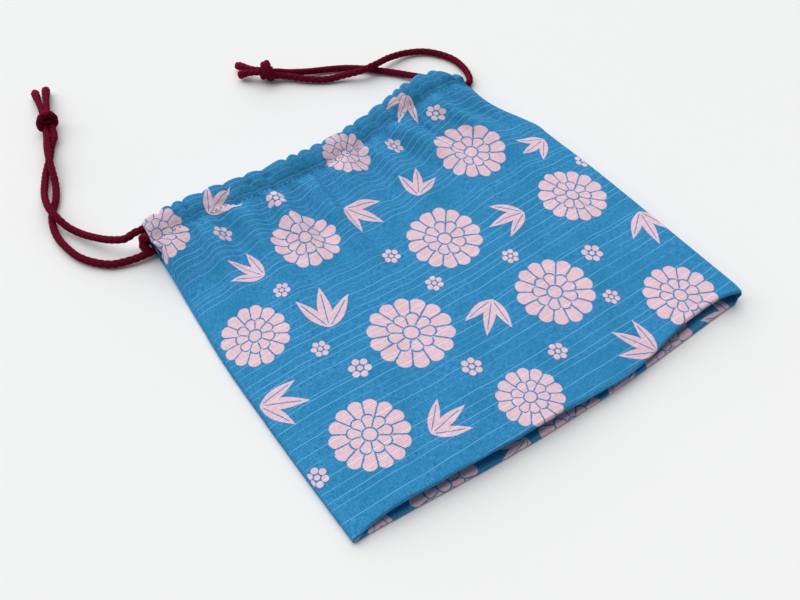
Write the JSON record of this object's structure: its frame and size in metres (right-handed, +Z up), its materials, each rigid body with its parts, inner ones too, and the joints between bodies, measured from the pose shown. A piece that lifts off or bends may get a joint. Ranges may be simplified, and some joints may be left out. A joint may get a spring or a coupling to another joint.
{
  "type": "drawstring pouch",
  "caption": "Flat drawstring pouch of printed slub cotton with a gathered casing along the mouth, a bottom gusset tucked inward and knotted round drawcords at both ends.",
  "frame": {"origin": "on the surface the pouch lies on, under the middle of the cloth's bounding box", "axes": "+X along the mouth, +Y from the tucked bottom edge to the mouth, +Z up out of the front panel"},
  "size_m": [0.2287, 0.315, 0.0211],
  "materials": {
    "cloth": "matte plain-weave slub cotton, blue ground with a pale pink floral print",
    "cord": "round braided cord, dark burgundy, soft sheen"
  },
  "bodies": {
    "root": {"pouch_body": "cloth", "left_cord": "cord", "left_knot": "cord", "right_cord": "cord", "right_knot": "cord"}
  },
  "joints": []
}
